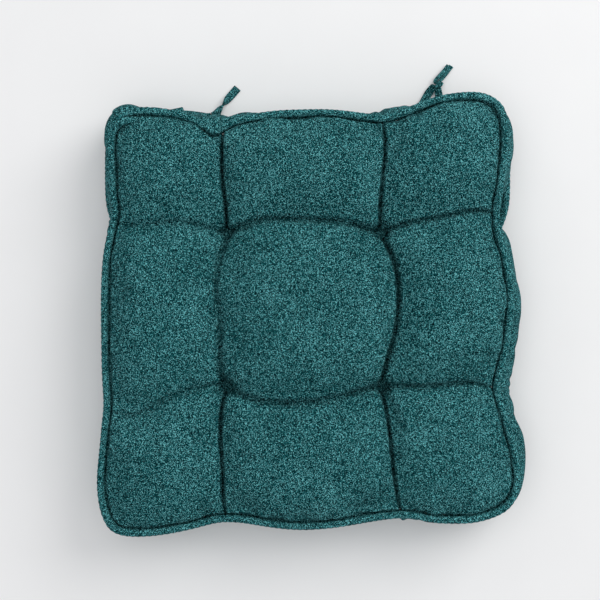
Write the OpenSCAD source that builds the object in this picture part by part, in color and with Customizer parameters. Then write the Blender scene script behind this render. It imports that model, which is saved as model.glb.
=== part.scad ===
// Square tufted cushion with a boxed edge, corded piping, covered buttons and four ties.
// It lies flat: X runs along its width, Y towards the back edge with the ties, Z up.
// The origin is the middle of the cushion's base, on the surface it lies on.

/* [Cushion] */
// Width and depth over the top piping, where the edge swells most
cushion_w = 400; // [340:5:460]
// Height of the boxing between the two piped seams
boxing_h = 50; // [36:1:70]
// Height of the bottom seam above the surface the cushion lies on
seam_rise = 14; // [12:1:18]
// Radius of the corners, seen from above
corner_r = 34; // [28:1:42]
// How far each edge is drawn in where a row of tufts meets it
waist_pull = 10; // [4:1:14]
// Half-width of each drawn-in stretch
waist_w = 20; // [14:1:26]
// How far the boxing swells out beyond the middle of the piping
boxing_bulge = 9; // [5:1:14]
// Thickness of the cover fabric
fabric_t = 1.2; // [0.8:0.1:1.6]

/* [Tufts] */
// Distance between neighbouring tufts
tuft_pitch = 146; // [120:2:160]
// How far the tufts sit to the right of the middle
tuft_shift_x = -4; // [-8:1:8]
// How far the tufts sit behind the middle
tuft_shift_y = 5; // [-8:1:8]
// Height of the middle pillow above the creases round it
crown_mid = 17; // [10:1:24]
// Height of the eight outer pillows above their creases
crown_edge = 12; // [8:1:20]
// How far the creases rise above the top seam, away from the tufts
crease_rise = 8; // [4:1:12]
// How far a top button is drawn down below the top seam
tuft_drop = 17; // [12:1:20]
// How far a bottom button is drawn up into the base
base_tuft_rise = 9; // [8:1:12]

/* [Piping] */
// Diameter of the piping
piping_d = 7; // [6:0.5:9]
// Width of the piping's flange, sewn into the seam
flange_w = 9; // [6:1:12]

/* [Buttons] */
// Diameter of a covered button
button_d = 13; // [11:0.5:14]
// Height of a covered button
button_h = 5; // [4:0.5:6]
// Diameter of the tufting twine
twine_d = 1.6; // [1:0.2:2]

/* [Ties] */
// Width of a tie
tie_w = 8; // [7:0.5:9]
// Thickness of a tie, which is folded and sewn
tie_t = 1.6; // [1.2:0.1:1.7]

/* [Hidden] */
TUFTS = ["front_left", "front_right", "back_left", "back_right"];

teal = [0.16, 0.38, 0.41];
teal_light = [0.24, 0.48, 0.50];
cord_white = [0.86, 0.85, 0.80];
fibre_white = [0.94, 0.94, 0.93];
moulded_grey = [0.55, 0.56, 0.58];

gap = 0.15; // between pieces that are sewn or pressed together
piping_r = piping_d / 2;
sleeve_t = 0.7; // one layer of the piping's fabric
sleeve_steps = 6; // flats round the piping's section
cord_r = (piping_r - sleeve_t) * cos(180 / sleeve_steps) - 0.03;
flange_half = sleeve_t + 0.1; // half the thickness of the piping's two-layer flange
flange_end = piping_r + flange_w;
half_w = cushion_w / 2 - piping_r; // to the middle line of the piping
bottom_seam_z = seam_rise;
top_seam_z = seam_rise + boxing_h;
cells = 7; // grid cells across each row of pillows
edge_fade = 50; // the grid follows the outline this far in from the edge

tufts_x = [tuft_shift_x - tuft_pitch / 2, tuft_shift_x + tuft_pitch / 2];
tufts_y = [tuft_shift_y - tuft_pitch / 2, tuft_shift_y + tuft_pitch / 2];

// --- outline -----------------------------------------------------------------------------------

// How far an edge is drawn in at a place s along it, with tufts level with the two places in ts
function waist(s, ts) =
    waist_pull * (exp(-pow((s - ts[0]) / waist_w, 2)) + exp(-pow((s - ts[1]) / waist_w, 2)));

// How far a place s along an edge is past the start of a corner's arc
function past(s) = max(0, abs(s) - (half_w - corner_r));
function corner_fall(s) = corner_r - sqrt(corner_r * corner_r - past(s) * past(s));
corner_mid = half_w - corner_r * (1 - cos(45)); // both coordinates of a corner arc's middle

// Grid stations across the cushion: three rows of cells, closer together near the creases
function stations(ts) =
    let (ends = [-half_w, ts[0], ts[1], half_w])
    concat([for (row = [0:2], k = [0:cells - 1])
        ends[row] + (ends[row + 1] - ends[row]) * (1 - cos(180 * k / cells)) / 2], [half_w]);

xs = stations(tufts_x);
ys = stations(tufts_y);
n = 3 * cells;

// A station moved along the rounded outline, so that the last one is the middle of the corner's arc
function on_side(s) =
    past(s) == 0 ? s : sign(s) * (half_w - corner_r + corner_r * sin(45 * past(s) / corner_r));

// A place on the outline as [along the side, away from the middle], for a station s, grown by out
function side_place(s, ts, out) =
    let (a = on_side(s))
    [a + sign(a) * out * past(a) / corner_r,
     half_w - waist(a, ts) - corner_fall(a) + out * sqrt(1 - pow(past(a) / corner_r, 2))];

// How strongly a grid point follows the outline, from 1 at an edge to 0 well inside
function fade(d) = pow(max(0, 1 - d / edge_fade), 2);

// Where a grid point lies, from above: square inside, rounded and drawn in at the edge
function grid_xy(i, j, out) =
    let (x = xs[i], y = ys[j],
         px = side_place(y, tufts_y, out), py = side_place(x, tufts_x, out),
         wl = fade(half_w + x), wr = fade(half_w - x), wf = fade(half_w + y), wb = fade(half_w - y),
         c = corner_mid + out * sin(45) - half_w)
    [x + (wr - wl) * (px[1] - half_w) + (wf + wb) * (py[0] - x) - c * (wr - wl) * (wf + wb),
     y + (wb - wf) * (py[1] - half_w) + (wl + wr) * (px[0] - y) - c * (wb - wf) * (wl + wr)];

// The grid's rim, anticlockwise from the front left corner, with n points on each side
rim_n = 4 * n;
function rim_ij(k) =
    let (side = floor(k / n) % 4, m = k % n)
    side == 0 ? [m, 0] : side == 1 ? [n, m] : side == 2 ? [n - m, n] : [0, n - m];
function rim_point(k, out, z) =
    let (ij = rim_ij(k), p = grid_xy(ij[0], ij[1], out))
    [p[0], p[1], z];
function on_rim(i, j) = i == 0 || j == 0 || i == n || j == n;

// --- heights -----------------------------------------------------------------------------------

panel_out = -piping_r - gap; // the panels end on the inner side of the piping
top_edge_z = top_seam_z + flange_half + gap + fabric_t;
base_edge_z = bottom_seam_z - flange_half - gap - fabric_t;
top_button_z = top_edge_z - tuft_drop;
button_rest = 12; // the fabric is flat under a button, this far from its middle

function tuft_distance(p) = min([for (tx = tufts_x, ty = tufts_y) norm(p - [tx, ty])]);
function edge_distance(p) = half_w - max(abs(p[0]), abs(p[1]));

// A pillow's profile: 0 at its creases and 1 in its middle
function arch(i) = sin(180 * (i % cells) / cells);
function in_middle(i, j) = i > cells && i < 2 * cells && j > cells && j < 2 * cells;
function pillow(i, j) = (in_middle(i, j) ? crown_mid : crown_edge) * arch(i) * arch(j);
function crease(p) = crease_rise * (1 - pow(p[0] / half_w, 4)) * (1 - pow(p[1] / half_w, 4));

// Upper face of the top panel
function top_z(i, j) =
    let (p = grid_xy(i, j, panel_out), d = tuft_distance(p))
    on_rim(i, j) ? top_edge_z
        : d < button_rest ? top_button_z
        : let (pull = exp(-pow((d - button_rest / 2) / (2 * button_rest), 2)))
          top_edge_z + pillow(i, j) + crease(p) * (1 - pull) - tuft_drop * pull;

// Lower face of the bottom panel: flat, rolled up to its seam and drawn up at the tufts
function base_z(i, j) =
    let (p = grid_xy(i, j, panel_out), d = tuft_distance(p))
    on_rim(i, j) ? base_edge_z
        : d < button_rest ? base_tuft_rise
        : d < 2.5 * button_rest ? 2
        : 5 * max(0, 1 - edge_distance(p) / 30);

// --- solids from grids and rings ---------------------------------------------------------------

grid_n = (n + 1) * (n + 1);
function at(i, j) = i * (n + 1) + j;
function grid_points(z_of, lift) = [for (i = [0:n], j = [0:n])
    let (p = grid_xy(i, j, panel_out))
    [p[0], p[1], z_of(i, j) + lift]];

// Faces of a grid sheet that looks up, or down where it is flipped
function grid_faces(first, flip) = [for (i = [0:n - 1], j = [0:n - 1])
    let (a = first + at(i, j), b = first + at(i + 1, j),
         c = first + at(i + 1, j + 1), d = first + at(i, j + 1))
    each flip ? [[a, b, c], [a, c, d]] : [[a, c, b], [a, d, c]]];
function grid_rim(first) = [for (k = [0:rim_n - 1]) let (ij = rim_ij(k)) first + at(ij[0], ij[1])];

// A ring of points round the outline, and the band of faces from one ring up to the next
function ring_points(q) = [for (k = [0:rim_n - 1]) rim_point(k, q[0], q[1])];
function ring_index(first) = [for (k = [0:rim_n - 1]) first + k];
function band(low, high) = [for (k = [0:rim_n - 1])
    let (m = (k + 1) % rim_n)
    each [[low[k], high[k], high[m]], [low[k], high[m], low[m]]]];

// A fabric panel: a lower and an upper grid sheet, and the edge between them
module panel(z_of, low, high) {
    polyhedron(
        points = concat(grid_points(z_of, low), grid_points(z_of, high)),
        faces = concat(
            grid_faces(0, true), grid_faces(grid_n, false),
            band(grid_rim(0), grid_rim(grid_n))));
}

// A strip along the outline from rim point first to last, whose section is a list of [out, z] points
module strip(profile, first, last) {
    m = len(profile);
    closed = last - first == rim_n;
    rows = last - first + (closed ? 0 : 1);
    polyhedron(
        points = [for (k = [first:first + rows - 1], q = profile) rim_point(k, q[0], q[1])],
        faces = concat(
            [for (k = [0:last - first - 1], q = [0:m - 1])
                let (k2 = (k + 1) % rows, q2 = (q + 1) % m)
                each [[k * m + q, k * m + q2, k2 * m + q2], [k * m + q, k2 * m + q2, k2 * m + q]]],
            closed ? [] : concat(cap(m, 0, true), cap(m, (rows - 1) * m, false))));
}

// The end face of a strip whose section goes out along one face and back along the other
function cap(m, first, flip) = [for (q = [0:m / 2 - 2])
    let (a = first + q, b = first + q + 1, c = first + m - 2 - q, d = first + m - 1 - q)
    each flip ? [[a, c, b], [a, d, c]] : [[a, b, c], [a, c, d]]];

module at_tuft(t) {
    translate([tufts_x[t % 2], tufts_y[floor(t / 2)], 0])
        children();
}

shank_d = 3.6; // of a button's shank, which goes through the panel
module tuft_holes() {
    for (t = [0:3])
        at_tuft(t)
            translate([0, 0, -1])
                cylinder(d = shank_d + 2 * gap, h = 2 * top_seam_z, $fn = 24);
}

// --- cover -------------------------------------------------------------------------------------

module top_panel() {
    color(teal) difference() {
        panel(function (i, j) top_z(i, j), -fabric_t, 0);
        tuft_holes();
    }
}

module bottom_panel() {
    color(teal) difference() {
        panel(function (i, j) base_z(i, j), 0, fabric_t);
        tuft_holes();
    }
}

// How far out the boxing stands at a height z, for its outer face (t = 0) or its inner face
swell_low = bottom_seam_z + piping_r + 0.5;
swell_high = top_seam_z - piping_r - 0.5;
swell_power = 0.7; // below 1 it swells more steeply beside the seams
function boxing_out(z, t) =
    let (up = (z - swell_low) / (swell_high - swell_low))
    panel_out - t + (boxing_bulge - panel_out) * pow(sin(180 * up), swell_power);
swell_steps = 6;
function swell(t) = [for (k = [0:swell_steps])
    let (z = swell_low + (swell_high - swell_low) * (1 - cos(180 * k / swell_steps)) / 2)
    [boxing_out(z, t), z]];
boxing_low = bottom_seam_z + flange_half + gap;
boxing_high = top_seam_z - flange_half - gap;
boxing_section = concat(
    [[-flange_end, boxing_low], [panel_out, boxing_low]],
    swell(0),
    [[panel_out, boxing_high], [-flange_end, boxing_high], [-flange_end, boxing_high - fabric_t],
     [panel_out - fabric_t, boxing_high - fabric_t]],
    [for (k = [swell_steps:-1:0]) swell(fabric_t)[k]],
    [[panel_out - fabric_t, boxing_low + fabric_t], [-flange_end, boxing_low + fabric_t]]);

module boxing(side) {
    color(teal_light) strip(boxing_section, side * n, (side + 1) * n);
}

module boxing_front() { boxing(0); }
module boxing_right() { boxing(1); }
module boxing_back() { boxing(2); }
module boxing_left() { boxing(3); }

// --- piping ------------------------------------------------------------------------------------

// A bias strip wrapped round the cord, with both of its edges sewn together as a flange
function arc(r, from, to, steps) = [for (k = [0:steps])
    let (a = from + (to - from) * k / steps)
    r * [cos(a), sin(a)]];
function raised(profile, z) = [for (q = profile) q + [0, z]];
sleeve_turn = 180 - asin(flange_half / piping_r);
sleeve_section = concat(
    [[-flange_end, -flange_half]],
    arc(piping_r, -sleeve_turn, sleeve_turn, sleeve_steps),
    [[-flange_end, flange_half], [-flange_end, 0.1]],
    arc(piping_r - sleeve_t, 177, -177, sleeve_steps),
    [[-flange_end, -0.1]]);

module piping(z) { color(teal_light) strip(raised(sleeve_section, z), 0, rim_n); }
module piping_cord(z) { color(cord_white) strip(raised(arc(cord_r, 0, 315, 7), z), 0, rim_n); }

module top_piping() { piping(top_seam_z); }
module bottom_piping() { piping(bottom_seam_z); }
module top_piping_cord() { piping_cord(top_seam_z); }
module bottom_piping_cord() { piping_cord(bottom_seam_z); }

// --- filling -----------------------------------------------------------------------------------

// It fills the cover, and is notched round the edge where the seam's flanges stand in
notch_end = -flange_end - gap;
notch = flange_half + 2 * gap + fabric_t;
fill_sides = concat(
    [[panel_out, bottom_seam_z - flange_half - gap], [notch_end, bottom_seam_z - flange_half - gap],
     [notch_end, bottom_seam_z + notch], [panel_out - fabric_t - gap, bottom_seam_z + notch]],
    swell(fabric_t + gap),
    [[panel_out - fabric_t - gap, top_seam_z - notch], [notch_end, top_seam_z - notch],
     [notch_end, top_seam_z + flange_half + gap], [panel_out, top_seam_z + flange_half + gap]]);

module fibre_fill() {
    m = len(fill_sides);
    sides = 2 * grid_n; // index of the first point between the two sheets
    rings = [for (q = [1:m - 2]) ring_index(sides + (q - 1) * rim_n)];
    bands = concat([grid_rim(0)], rings, [grid_rim(grid_n)]);
    color(fibre_white) difference() {
        polyhedron(
            points = concat(
                grid_points(function (i, j) base_z(i, j), fabric_t),
                grid_points(function (i, j) top_z(i, j), -fabric_t),
                [for (q = [1:m - 2]) each ring_points(fill_sides[q])]),
            faces = concat(
                grid_faces(0, true), grid_faces(grid_n, false),
                [for (q = [0:m - 2]) each band(bands[q], bands[q + 1])]));
        tuft_holes();
    }
}

// --- tufting -----------------------------------------------------------------------------------

// A covered button lies on z = 0 with its dome up and its shank down
core_r = button_d / 2 - 0.9;
shank_h = 2.4;

function dome(r, h, base) = [for (k = [0:6]) [r * cos(15 * k), base + (h - base) * sin(15 * k)]];
function backwards(list) = [for (k = [len(list) - 1:-1:0]) list[k]];

// A disc of the cover fabric gathered round the core's edge
module button_cover() {
    color(teal) rotate_extrude($fn = 48) polygon(concat(
        [[core_r - 2, 0], [button_d / 2 - 0.7, 0]],
        dome(button_d / 2, button_h, 1.5),
        backwards(dome(core_r + 0.1, button_h - 0.8, 1.6)),
        [[core_r + 0.1, 0.7], [core_r - 2, 0.7]]));
}

module button_core() {
    color(moulded_grey) {
        rotate_extrude($fn = 48)
            polygon(concat([[0, 0.8], [core_r, 0.8]], dome(core_r, button_h - 0.9, 1.6)));
        translate([0, 0, -shank_h])
            cylinder(d = shank_d, h = shank_h + 0.9, $fn = 32);
    }
}

module top_button(t) {
    at_tuft(t)
        translate([0, 0, top_button_z])
            children();
}

module bottom_button(t) {
    at_tuft(t)
        translate([0, 0, base_tuft_rise])
            rotate([180, 0, 0])
                children();
}

module tufting_twine(t) {
    color(cord_white)
        at_tuft(t)
            translate([0, 0, base_tuft_rise + shank_h])
                cylinder(d = twine_d, h = top_button_z - base_tuft_rise - 2 * shank_h, $fn = 24);
}

// --- ties --------------------------------------------------------------------------------------

// A tie's route, one row for each point: [x, y, z], then the direction of its width, then the share
// of its full width that it has there, which is less where a knot squeezes it
route_w = 400; // the width of the cushion that the routes' points are for
tie_routes = [
    // left 1: doubled up under the edge, then out behind with half a twist
    [[[-151, 197, 19], [1, 0, 0], 1], [[-151, 201, 17.5], [1, 0, 0], 1],
     [[-150, 203, 12], [1, 0, 0], 1], [[-147, 203, 7], [0.8, 0, 0.6], 1],
     [[-142, 201, 3], [0.2, 0.7, 0.7], 1], [[-135, 200, 1], [0, 1, 0], 1],
     [[-127, 202, 1.4], [-0.2, 1, 0], 1], [[-124, 203, 3], [-0.3, 1, 0], 1],
     [[-127, 202, 4.6], [-0.2, 1, 0], 1], [[-137, 200, 4.2], [0, 1, 0], 1],
     [[-140, 199, 6], [0, 1, 0], 1], [[-137, 199, 7.6], [0, 1, 0], 1], [[-127, 199, 6.6], [0, 1, 0], 1],
     [[-117, 199, 3], [0, 1, 0], 1], [[-107, 198, 1], [0, 1, 0], 1], [[-99, 197, 1], [0.3, 1, 0], 1],
     [[-93, 199, 1.6], [0.7, -0.7, 0.2], 1], [[-88, 204, 3], [0.6, -0.5, 0.6], 1],
     [[-84, 209, 4.2], [0, 0, 1], 1], [[-80, 214, 3.4], [-0.6, 0.5, 0.6], 1],
     [[-75, 220, 1.6], [-0.7, 0.6, 0.2], 1], [[-70, 226, 1], [-0.8, 0.6, 0], 1]],
    // left 2: under the edge, and on edge where it arches out behind
    [[[-160, 197, 19], [1, 0, 0], 1], [[-160, 201, 17.5], [1, 0, 0], 1],
     [[-160, 203, 12], [1, 0, 0], 1], [[-160, 203, 6], [1, 0, 0], 1], [[-160, 199, 1.6], [1, 0, 0], 1],
     [[-158, 193, 1], [0.9, 0.4, 0], 1], [[-151, 189, 1], [0.4, 0.9, 0], 1],
     [[-138, 189, 1], [0, 1, 0], 1], [[-122, 189, 1], [0, 1, 0], 1], [[-106, 189, 1], [0, 1, 0], 1],
     [[-94, 189, 1], [0, 1, 0], 1], [[-84, 192, 3], [0, 0.8, 0.6], 1],
     [[-75, 196, 4.2], [0, 0.3, 1], 1], [[-66, 199, 4.4], [0, 0.2, 1], 1],
     [[-57, 200, 4.4], [0, 0, 1], 1], [[-49, 198, 4.2], [0, -0.2, 1], 1],
     [[-42, 195, 3.6], [0, -0.7, 0.7], 1]],
    // right 1: doubled back under the edge, out behind, once round the other tie, and on beside it
    [[[151, 197, 19], [1, 0, 0], 1], [[151, 201, 17.5], [1, 0, 0], 1], [[150, 203, 12], [1, 0, 0], 1],
     [[147, 203, 7], [0.8, 0, -0.6], 1], [[142, 201, 3], [0.2, -0.7, -0.7], 1],
     [[134, 200, 1], [0, -1, 0], 1], [[120, 200, 1], [0, -1, 0], 1], [[109, 199, 1.2], [0, -1, 0], 1],
     [[105, 199, 3], [0, -1, 0], 1], [[108, 201, 4.8], [0.3, -1, 0], 1],
     [[113, 207, 4], [0.7, -0.7, 0], 1], [[117, 214, 2], [0.9, -0.5, 0], 1],
     [[121, 221, 2.4], [0.9, -0.4, 0.3], 0.9], [[125, 226, 5], [0.7, 0, 0.7], 0.7],
     [[130, 228, 8], [0.5, 0.9, 0], 0.5], [[134, 229, 5], [0.5, 0.9, 0], 0.5],
     [[131, 231, 1.2], [0.5, 0.9, 0], 0.5], [[127, 232, 4], [0.5, 0.9, 0.2], 0.5],
     [[130, 237, 5.4], [0.8, -0.5, 0.3], 0.8], [[134, 242, 4], [0.8, -0.5, 0.1], 1],
     [[139, 248, 2.8], [0.8, -0.5, 0], 1]],
    // right 2: doubled up under the edge, out behind on edge, and through the other tie's turn
    [[[160, 197, 19], [1, 0, 0], 1], [[160, 201, 17.5], [1, 0, 0], 1], [[160, 203, 12], [1, 0, 0], 1],
     [[160, 203, 6], [1, 0, 0], 1], [[160, 199, 1.6], [1, 0, 0], 1], [[158, 193, 1], [0.9, -0.4, 0], 1],
     [[150, 189, 1], [0.4, -0.9, 0], 1], [[137, 189, 1], [0, -1, 0], 1], [[125, 190, 1], [0, -1, 0], 1],
     [[121, 192, 3.2], [0, -1, 0], 1], [[126, 193, 4.8], [0, -1, 0], 1],
     [[131, 197, 5], [0.8, -0.6, 0.1], 1], [[133, 204, 5], [1, 0.1, 0.3], 1],
     [[132, 211, 5], [0.7, 0.2, 0.7], 1], [[131, 217, 4.4], [0.2, 0, 1], 1],
     [[130, 224, 4.4], [0, 0, 1], 0.7], [[131, 231, 4.4], [0, 0, 1], 0.4],
     [[135, 236, 3], [0.5, -0.3, 0.8], 0.5], [[140, 242, 1.6], [0.8, -0.5, 0.1], 1],
     [[144, 248, 1], [0.8, -0.5, 0], 1]]];

// The section across a tie: [across its width, through its thickness]
tie_section = [[1, -0.5], [1, 0.5], [0.8, 1], [-0.8, 1], [-1, 0.5], [-1, -0.5], [-0.8, -1], [0.8, -1]];

function unit(v) = v / norm(v);
function tie_ring(route, k) =
    let (last = len(route) - 1,
         along = unit(route[min(k + 1, last)][0] - route[max(k - 1, 0)][0]),
         w = route[k][1], across = unit(w - (w * along) * along), through = cross(along, across))
    [for (q = tie_section)
        route[k][0] + across * q[0] * route[k][2] * tie_w / 2 + through * q[1] * tie_t / 2];

module tie(route) {
    rows = len(route);
    m = len(tie_section);
    color(teal) translate([0, (cushion_w - route_w) / 2, 0]) polyhedron(
        points = [for (k = [0:rows - 1]) each tie_ring(route, k)],
        faces = concat(
            [for (k = [0:rows - 2], q = [0:m - 1])
                let (a = k * m + q, b = k * m + (q + 1) % m)
                each [[a, b + m, b], [a, a + m, b + m]]],
            [[for (q = [0:m - 1]) q], [for (q = [m - 1:-1:0]) (rows - 1) * m + q]]));
}

// --- nodes -------------------------------------------------------------------------------------

top_panel();
bottom_panel();
boxing_front();
boxing_right();
boxing_back();
boxing_left();
top_piping();
bottom_piping();
top_piping_cord();
bottom_piping_cord();
fibre_fill();
for (t = [0:3]) {
    top_button(t) button_cover();
    top_button(t) button_core();
    bottom_button(t) button_cover();
    bottom_button(t) button_core();
    tufting_twine(t);
}
tie(tie_routes[0]);  // tie_left_1
tie(tie_routes[1]);  // tie_left_2
tie(tie_routes[2]);  // tie_right_1
tie(tie_routes[3]);  // tie_right_2
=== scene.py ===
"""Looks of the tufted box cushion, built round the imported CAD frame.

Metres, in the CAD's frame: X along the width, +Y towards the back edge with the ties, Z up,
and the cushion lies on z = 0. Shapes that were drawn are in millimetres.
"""
import math

import bmesh
import bpy
import numpy as np
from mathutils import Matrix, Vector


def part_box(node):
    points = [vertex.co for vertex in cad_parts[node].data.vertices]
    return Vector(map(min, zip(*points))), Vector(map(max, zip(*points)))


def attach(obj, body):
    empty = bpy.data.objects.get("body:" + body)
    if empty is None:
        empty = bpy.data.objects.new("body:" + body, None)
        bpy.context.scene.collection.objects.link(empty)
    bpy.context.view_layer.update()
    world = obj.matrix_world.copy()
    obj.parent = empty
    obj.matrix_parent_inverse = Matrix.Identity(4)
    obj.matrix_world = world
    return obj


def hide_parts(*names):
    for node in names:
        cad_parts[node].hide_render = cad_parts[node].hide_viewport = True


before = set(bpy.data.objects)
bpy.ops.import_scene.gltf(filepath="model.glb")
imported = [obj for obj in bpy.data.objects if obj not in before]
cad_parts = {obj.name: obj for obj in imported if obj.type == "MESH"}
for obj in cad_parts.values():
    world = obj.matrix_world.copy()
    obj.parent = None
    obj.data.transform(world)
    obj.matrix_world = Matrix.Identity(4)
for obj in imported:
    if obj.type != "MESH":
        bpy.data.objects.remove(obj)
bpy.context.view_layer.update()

MM = 0.001
rng = np.random.default_rng(11)

# ---- what the CAD says ---------------------------------------------------------------------------

TUFTS = ["front_left", "front_right", "back_left", "back_right"]
top_lo, top_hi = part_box("top_piping")
base_lo, base_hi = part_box("bottom_piping")
PIPING_R = 3.5 * MM
HALF = top_hi.x - PIPING_R  # to the middle of the piping
TOP_Z = (top_lo.z + top_hi.z) / 2  # of the top seam
BASE_Z = (base_lo.z + base_hi.z) / 2  # of the bottom seam
DRAWN_HALF = 196.5  # the half width that the drawn shapes below are for
K = HALF / DRAWN_HALF  # metres for each of their millimetres


def tuft_of(name):
    lo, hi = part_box(name)
    return np.array([(lo.x + hi.x) / 2, (lo.y + hi.y) / 2, lo.z, hi.z])


top_tufts = [tuft_of("top_button_cover_" + t) for t in TUFTS]
base_tufts = [tuft_of("bottom_button_cover_" + t) for t in TUFTS]

# ---- camera, light and floor ---------------------------------------------------------------------

scene = bpy.context.scene


def link(obj):
    scene.collection.objects.link(obj)
    return obj


# Straight down, as the cushion was photographed, and a little off its middle
camera = link(bpy.data.objects.new("camera", bpy.data.cameras.new("camera")))
camera.data.lens, camera.data.sensor_width = 50, 24
camera.location = (-0.0076, 0.01425, 1.25)
camera.rotation_euler = (0, 0, 0)
scene.camera = camera


def area_light(name, at, size, power, colour):
    """A round lamp that faces the middle of the floor."""
    lamp = bpy.data.lights.new(name, "AREA")
    lamp.shape, lamp.size, lamp.energy, lamp.color = "DISK", size, power, colour
    obj = link(bpy.data.objects.new(name, lamp))
    obj.location = at
    obj.rotation_mode = "QUATERNION"
    obj.rotation_quaternion = (-obj.location).to_track_quat("-Z", "Y")


area_light("window", (1.75, 1.5, 1.9), 2.2, 43, (1, 0.985, 0.96))
area_light("ceiling", (-0.3, 0.2, 2.6), 2.6, 20, (1, 1, 1))
scene.world = bpy.data.worlds.new("room")
scene.world.use_nodes = True
room = scene.world.node_tree.nodes["Background"].inputs
room["Color"].default_value = (0.985, 0.990, 1, 1)
room["Strength"].default_value = 0.56
scene.view_settings.view_transform = "Standard"

# ---- materials -----------------------------------------------------------------------------------


class Shader:
    """A material's nodes, with a short way to add and join them."""

    def __init__(self, name):
        self.material = bpy.data.materials.new(name)
        self.material.use_nodes = True
        self.tree = self.material.node_tree
        self.bsdf = self.tree.nodes["Principled BSDF"]

    def node(self, kind, inputs=(), **settings):
        made = self.tree.nodes.new("ShaderNode" + kind)
        for key, value in settings.items():
            setattr(made, key, value)
        for key, value in dict(inputs).items():
            if isinstance(value, bpy.types.NodeSocket):
                self.tree.links.new(value, made.inputs[key])
            else:
                made.inputs[key].default_value = value
        return made

    def math(self, operation, a, b=0.0, c=0.0):
        return self.node("Math", {0: a, 1: b, 2: c}, operation=operation).outputs[0]

    def scaled(self, at, scale, rotation=(0, 0, 0)):
        made = self.node("Mapping", {"Vector": at, "Rotation": rotation, "Scale": scale})
        return made.outputs["Vector"]

    def noise(self, at, scale, detail=2.0):
        made = self.node("TexNoise", {"Vector": at, "Scale": scale, "Detail": detail})
        return made.outputs["Fac"]

    def ramp(self, value, stops):
        made = self.node("ValToRGB", {"Fac": value})
        ramp = made.color_ramp
        while len(ramp.elements) < len(stops):
            ramp.elements.new(0.5)
        for element, (place, colour) in zip(ramp.elements, stops):
            element.position, element.color = place, (*colour, 1)
        return made.outputs["Color"]

    def bump(self, height, strength, distance, under=None):
        inputs = {"Height": height, "Strength": strength, "Distance": distance}
        if under is not None:
            inputs["Normal"] = under
        return self.node("Bump", inputs).outputs["Normal"]

    def finish(self, colour, roughness, normal, **fixed):
        """The material. The fixed settings are the same all over it."""
        for key, value in (("Base Color", colour), ("Roughness", roughness), ("Normal", normal)):
            if isinstance(value, bpy.types.NodeSocket):
                self.tree.links.new(value, self.bsdf.inputs[key])
            elif value is not None:
                self.bsdf.inputs[key].default_value = value
        for key, value in fixed.items():
            self.bsdf.inputs[key.replace("_", " ")].default_value = value
        return self.material


THREAD = 0.43 * MM
# The yarn's shades, from its darkest flecks to its lightest
YARN = [(0.30, (0.0002, 0.006, 0.008)), (0.55, (0.001, 0.040, 0.047)),
        (0.78, (0.010, 0.125, 0.137)), (0.97, (0.200, 0.620, 0.660))]


# shade scales all the yarn's colours: below 1 it paints shade into the cloth, above 1 it paints
# light
def woven(name, turn=0.0, shade=1.0):
    """Melange cloth in a 2/2 twill: every float of yarn has a shade of its own."""
    s = Shader(name)
    uv = s.node("UVMap", uv_map="weave").outputs["UV"]
    turned = s.scaled(uv, (1 / THREAD,) * 3, (0, 0, turn))
    split = s.node("SeparateXYZ", {"Vector": turned})
    u, v = split.outputs["X"], split.outputs["Y"]
    warp, weft = s.math("FLOOR", u), s.math("FLOOR", v)
    over = s.math("LESS_THAN", s.math("FLOORED_MODULO", s.math("ADD", warp, weft), 4.0), 2.0)

    def fleck(index, along, seed):
        """A shade for each short length of the thread with that index, from 0 to 1."""
        staggered = s.math("MULTIPLY_ADD", index, 0.41, s.math("MULTIPLY", along, 0.62))
        piece = s.math("FLOOR", staggered)
        at = s.node("CombineXYZ", {"X": index, "Y": piece, "Z": seed}).outputs["Vector"]
        return s.node("TexWhiteNoise", {"Vector": at}, noise_dimensions="3D").outputs["Value"]

    tone = s.node("Mix", {0: over, 2: fleck(weft, u, 5.5), 3: fleck(warp, v, 0.5)}).outputs[0]
    blotch = s.noise(s.scaled(uv, (22, 22, 22)), 1.0, 3.0)
    tone = s.math("ADD", tone, s.math("MULTIPLY", s.math("SUBTRACT", blotch, 0.5), 0.16))
    colour = s.ramp(tone, [(place, tuple(shade * c for c in yarn)) for place, yarn in YARN])

    def crown(along):
        """The round top of a thread."""
        across = s.math("SUBTRACT", s.math("FRACT", along), 0.5)
        return s.math("SUBTRACT", 1.0, s.math("MULTIPLY", s.math("MULTIPLY", across, across), 3.6))

    height = s.node("Mix", {0: over, 2: s.math("MULTIPLY", crown(v), 0.9), 3: crown(u)}).outputs[0]
    height = s.math("ADD", height, s.math("MULTIPLY", tone, 0.3))
    fuzz = s.noise(s.scaled(uv, (1200,) * 3), 1.0)
    normal = s.bump(fuzz, 0.25, 0.12 * MM, s.bump(height, 0.5, 0.25 * MM))
    grooves = s.math("MULTIPLY_ADD", height, -0.08, 0.96)
    return s.finish(colour, grooves, normal, Sheen_Weight=0.02, Sheen_Roughness=0.45,
                    Sheen_Tint=(0.20, 0.72, 0.78, 1), Specular_IOR_Level=0.05)


def plain(name, dark, light, scale, roughness, depth, stretch=(1, 1, 1)):
    """A material for a piece that the cover hides: two shades in fine grain."""
    s = Shader(name)
    grain = s.noise(s.scaled(s.node("TexCoord").outputs["Object"], stretch), scale, 4.0)
    colour = s.ramp(grain, [(0.35, dark), (0.65, light)])
    rough = s.math("MULTIPLY_ADD", grain, 0.2, roughness)
    return s.finish(colour, rough, s.bump(grain, 0.4, depth))


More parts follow.
